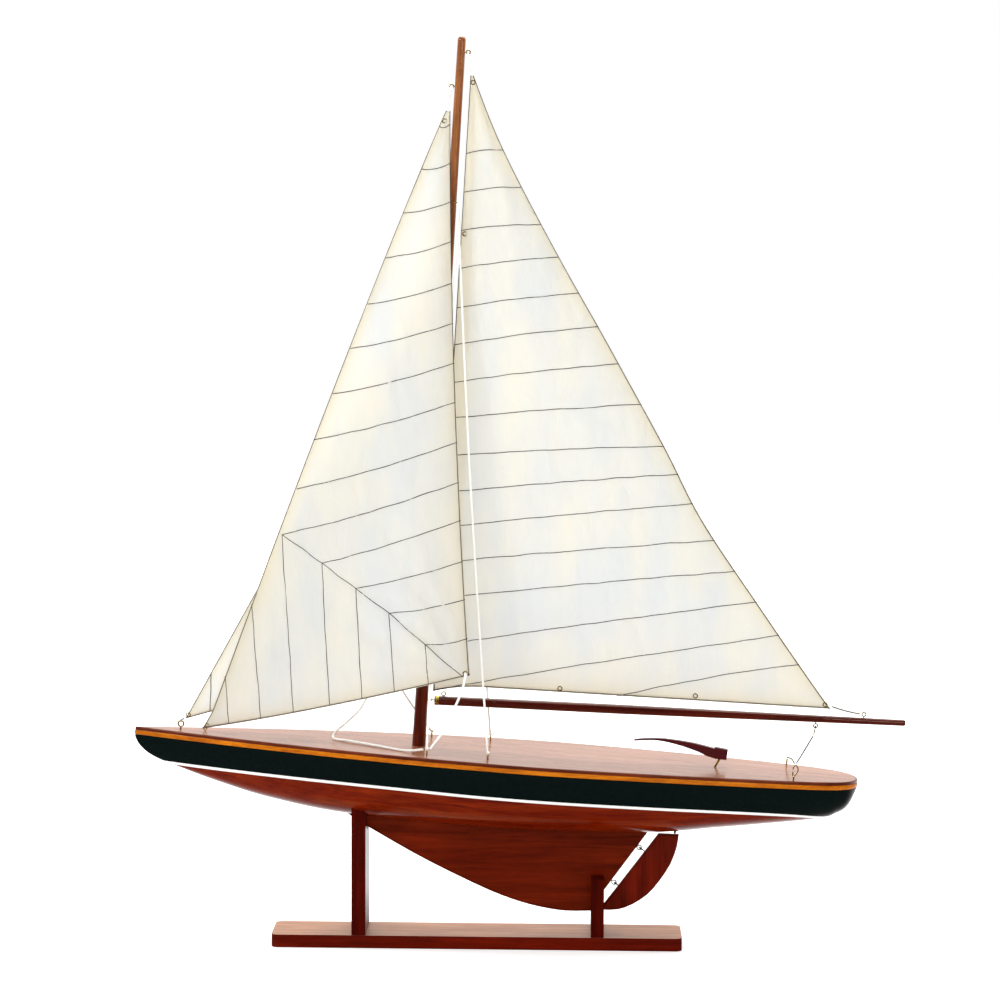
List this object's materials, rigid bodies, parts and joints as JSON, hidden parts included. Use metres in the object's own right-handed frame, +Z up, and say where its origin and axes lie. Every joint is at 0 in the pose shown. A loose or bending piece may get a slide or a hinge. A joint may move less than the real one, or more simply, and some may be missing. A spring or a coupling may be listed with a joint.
{
  "type": "model sailing yacht on a display stand",
  "caption": "Wooden model sloop with raked mast, boom, three stitched sails, long keel, hinged rudder and tiller, standing on a forked cradle.",
  "frame": {"origin": "middle of the stand's underside, on the surface it stands on", "axes": "+Z up, -X towards the bow, +X towards the stern, -Y to port, +Y to starboard"},
  "size_m": [0.6562, 0.127, 0.7698],
  "materials": {
    "stand_mahogany": "gloss varnish, dark red mahogany stain",
    "spar_mahogany": "gloss varnish, dark mahogany",
    "deck_veneer": "gloss varnish over pale red-brown veneer",
    "pale_strip": "gloss varnish over honey-coloured strip wood",
    "hull_paint": "gloss paint, near-black green, white boot stripe, varnished red-brown bottom",
    "keel_wood": "satin varnish, red-brown",
    "raw_wood": "bare",
    "brass": "polished, slightly dulled",
    "steel": "plain screws",
    "sailcloth": "matte off-white cotton with dark stitched seams",
    "white_cord": "white braided cord",
    "thread": "grey thread"
  },
  "bodies": {
    "stand": {"stand_base": "stand_mahogany", "stand_bow_post": "stand_mahogany", "stand_stern_post": "stand_mahogany", "stand_screw_1": "steel", "stand_screw_2": "steel", "stand_screw_3": "steel", "stand_screw_4": "steel"},
    "yacht": {"hull": "hull_paint", "deck": "deck_veneer", "sheer_strip": "pale_strip", "mast_step": "raw_wood", "keel": "keel_wood", "keel_screw_front": "steel", "keel_screw_rear": "steel", "bow_eye": "brass", "jib_tack_eye": "brass", "sheet_eye_port": "brass", "sheet_eye_starboard": "brass", "shroud_eye_port": "brass", "shroud_eye_starboard": "brass", "traveller_eye_port": "brass", "traveller_eye_starboard": "brass", "masthead_eye": "brass", "jib_halyard_eye": "brass", "outer_jib_halyard_eye": "brass", "mast_shroud_eye_port": "brass", "mast_shroud_eye_starboard": "brass", "gooseneck_eye": "brass", "rudder_eye_upper": "brass", "rudder_eye_lower": "brass", "mast": "spar_mahogany", "main_halyard": "white_cord", "shroud_port": "white_cord", "shroud_starboard": "white_cord", "jib_halyard": "white_cord", "outer_jib_halyard": "white_cord", "traveller_wire": "thread", "traveller_link": "brass", "outer_jib_tack_lashing": "thread"},
    "rudder_blade": {"rudder": "keel_wood", "rudder_hook_upper": "brass", "rudder_hook_lower": "brass"},
    "tiller_and_stock": {"tiller": "spar_mahogany", "rudder_stock": "brass"},
    "boom_and_mainsail": {"boom": "spar_mahogany", "boom_gooseneck_hook": "brass", "boom_tack_eye": "brass", "outhaul_eye": "brass", "boom_sheet_eye": "brass", "sheet_hook": "brass", "mainsail": "sailcloth", "main_head_lashing": "white_cord", "outhaul": "thread", "mainsheet": "thread"},
    "inner_jib_sail": {"inner_jib": "sailcloth", "inner_jib_sheet": "white_cord"},
    "outer_jib_sail": {"outer_jib": "sailcloth", "outer_jib_sheet": "white_cord", "lazy_sheet": "white_cord"}
  },
  "joints": [
    {"name": "lift_off_stand", "type": "slide", "parent": "stand", "child": "yacht", "axis": [0, 0, 1], "range_m": [0, 0.12]},
    {"name": "rudder_swing", "type": "hinge", "parent": "yacht", "child": "rudder_blade", "pos_m": [0.13843, 0, 0.08434], "axis": [0.5722, 0, 0.8201], "range_deg": [-23, 23]},
    {"name": "tiller_swing", "type": "hinge", "parent": "yacht", "child": "tiller_and_stock", "pos_m": [0.20812, 0, 0.16525], "axis": [0.505, 0, 0.8631], "range_deg": [-23, 23]},
    {"name": "boom_swing", "type": "hinge", "parent": "yacht", "child": "boom_and_mainsail", "pos_m": [-0.04067, 0, 0.21069], "axis": [0.0577, 0, 0.9983], "range_deg": [-32, 32], "deforming": ["mainsheet"]},
    {"name": "inner_jib_swing", "type": "hinge", "parent": "yacht", "child": "inner_jib_sail", "pos_m": [-0.23254, -0.0015, 0.18392], "axis": [0.3626, -0.0062, 0.9319], "range_deg": [-40, 0], "deforming": ["inner_jib_sheet"]},
    {"name": "outer_jib_swing", "type": "hinge", "parent": "yacht", "child": "outer_jib_sail", "pos_m": [-0.25071, 0.002, 0.19178], "axis": [0.4832, 0.0067, 0.8755], "range_deg": [0, 40], "deforming": ["outer_jib_sheet", "lazy_sheet"]}
  ],
  "couplings": [
    {"joint": "tiller_swing", "follows": "rudder_swing", "ratio": 1}
  ]
}
